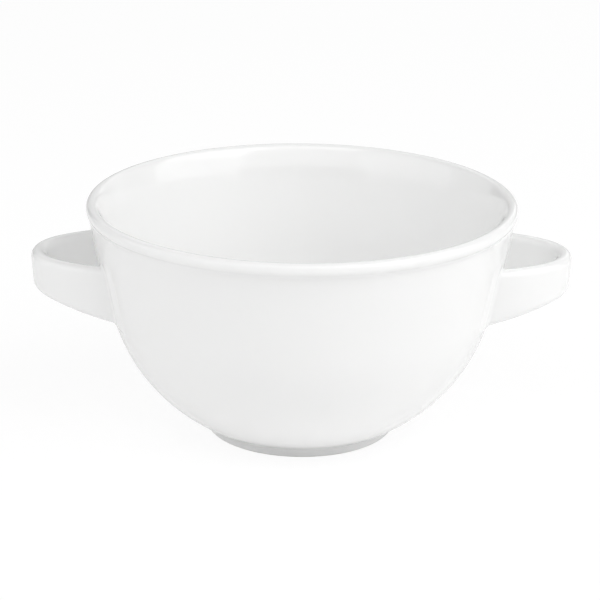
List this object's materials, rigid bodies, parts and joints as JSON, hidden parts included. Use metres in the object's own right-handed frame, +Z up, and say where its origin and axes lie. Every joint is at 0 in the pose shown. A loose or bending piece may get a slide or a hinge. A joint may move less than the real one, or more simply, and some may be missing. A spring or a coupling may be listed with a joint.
{
  "type": "two-handled soup cup",
  "caption": "Round white porcelain soup cup with a rolled rim, a foot ring and a strap handle with a finger gap on each side.",
  "frame": {"origin": "centre of the foot ring's standing face, on the bowl's axis", "axes": "+Z up along the bowl's axis, +X from the axis towards the right handle, -Y towards the front"},
  "size_m": [0.1516, 0.12, 0.067],
  "materials": {
    "glazed_porcelain": "clear gloss glaze over white porcelain, bare and matt on the standing face",
    "luting_slip": "white slip of the same porcelain, glazed over"
  },
  "bodies": {
    "root": {"cup_body": "glazed_porcelain", "left_handle": "glazed_porcelain", "right_handle": "glazed_porcelain", "left_front_slip": "luting_slip", "left_rear_slip": "luting_slip", "right_front_slip": "luting_slip", "right_rear_slip": "luting_slip"}
  },
  "joints": []
}
